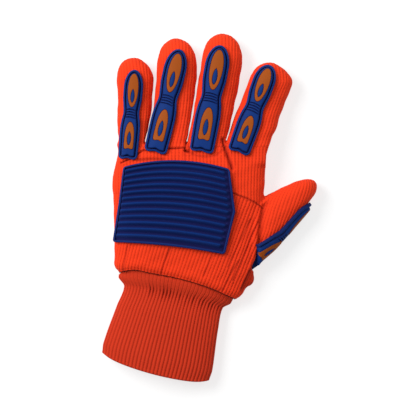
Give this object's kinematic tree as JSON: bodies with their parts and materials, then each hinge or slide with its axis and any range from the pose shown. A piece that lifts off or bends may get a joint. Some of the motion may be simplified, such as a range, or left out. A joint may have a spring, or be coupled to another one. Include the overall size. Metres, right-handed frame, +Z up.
{
  "type": "impact glove",
  "caption": "Left-hand knit work glove with a rib-knit wrist cuff, a ridged rubber plate over the knuckles and rubber guards with inset pads along the fingers and thumb.",
  "frame": {"origin": "middle of the glove's outline, on the surface that it lies on", "axes": "X across the hand towards the thumb, Y along the hand towards the fingertips, Z up out of the back of the hand"},
  "size_m": [0.1712, 0.2778, 0.0345],
  "materials": {
    "hand_knit": "fluorescent orange corded cotton knit, matt",
    "cuff_knit": "orange-red rib knit, matt",
    "guard_rubber": "royal blue moulded rubber, satin",
    "pad_rubber": "copper brown moulded rubber, satin"
  },
  "bodies": {
    "root": {"hand_body": "hand_knit", "little_stall": "hand_knit", "ring_stall": "hand_knit", "middle_stall": "hand_knit", "index_stall": "hand_knit", "thumb_stall": "hand_knit", "wrist_cuff": "cuff_knit", "knuckle_plate": "guard_rubber", "little_guard": "guard_rubber", "little_tip_pad": "pad_rubber", "little_base_pad": "pad_rubber", "ring_guard": "guard_rubber", "ring_tip_pad": "pad_rubber", "ring_base_pad": "pad_rubber", "middle_guard": "guard_rubber", "middle_tip_pad": "pad_rubber", "middle_base_pad": "pad_rubber", "index_guard": "guard_rubber", "index_tip_pad": "pad_rubber", "index_base_pad": "pad_rubber", "thumb_guard": "guard_rubber", "thumb_tip_pad": "pad_rubber", "thumb_base_pad": "pad_rubber"}
  },
  "joints": []
}
